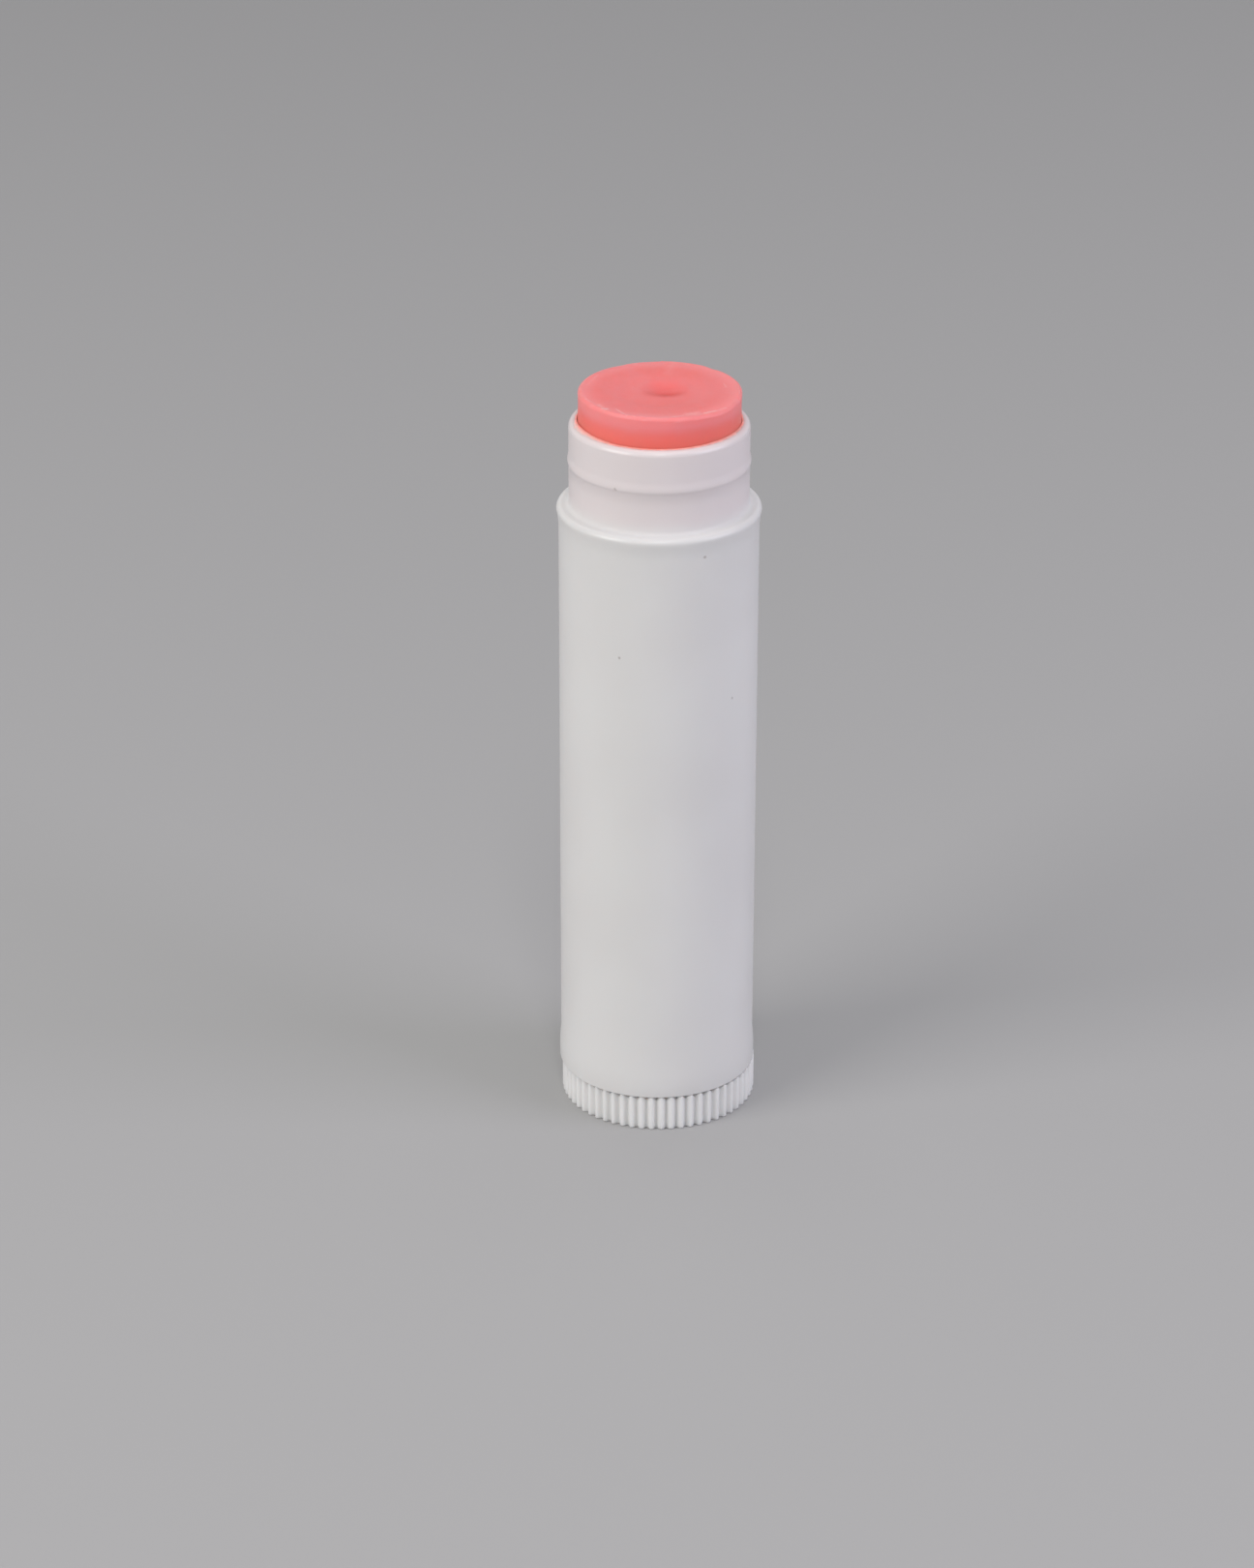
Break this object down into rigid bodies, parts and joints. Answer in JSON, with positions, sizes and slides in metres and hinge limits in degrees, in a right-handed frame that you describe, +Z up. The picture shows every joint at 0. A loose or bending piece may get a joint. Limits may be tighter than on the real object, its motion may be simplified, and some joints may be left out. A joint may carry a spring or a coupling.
{
  "type": "tinted lip balm",
  "caption": "Round twist-up lip balm standing open: barrel with a stepped neck, ridged turning wheel with a lead screw, keyed elevator and a dished tinted balm.",
  "frame": {"origin": "middle of the underside, on the plane that the wheel stands on", "axes": "+Z up along the tube's axis, towards the mouth; the picture looks roughly along +Y"},
  "size_m": [0.0162, 0.0162, 0.0619],
  "materials": {
    "barrel_plastic": "white polypropylene, soft satin gloss, slightly translucent at thin edges",
    "wheel_plastic": "white polypropylene, soft satin gloss",
    "elevator_plastic": "natural white polypropylene, matte",
    "tinted_balm": "coral pink wax and oil, soft satin, translucent"
  },
  "bodies": {
    "barrel": {"barrel": "barrel_plastic"},
    "wheel": {"base_wheel": "wheel_plastic"},
    "stick": {"elevator": "elevator_plastic", "balm": "tinted_balm"}
  },
  "joints": [
    {"name": "wheel_turn", "type": "hinge", "parent": "barrel", "child": "wheel", "pos_m": [0, 0, 0], "axis": [0, 0, 1], "range_deg": [-225, 2880]},
    {"name": "balm_lift", "type": "slide", "parent": "barrel", "child": "stick", "axis": [0, 0, 1], "range_m": [-0.00313, 0.04]}
  ],
  "couplings": [
    {"joint": "wheel_turn", "follows": "balm_lift", "rad_per_m": 1256.6}
  ]
}
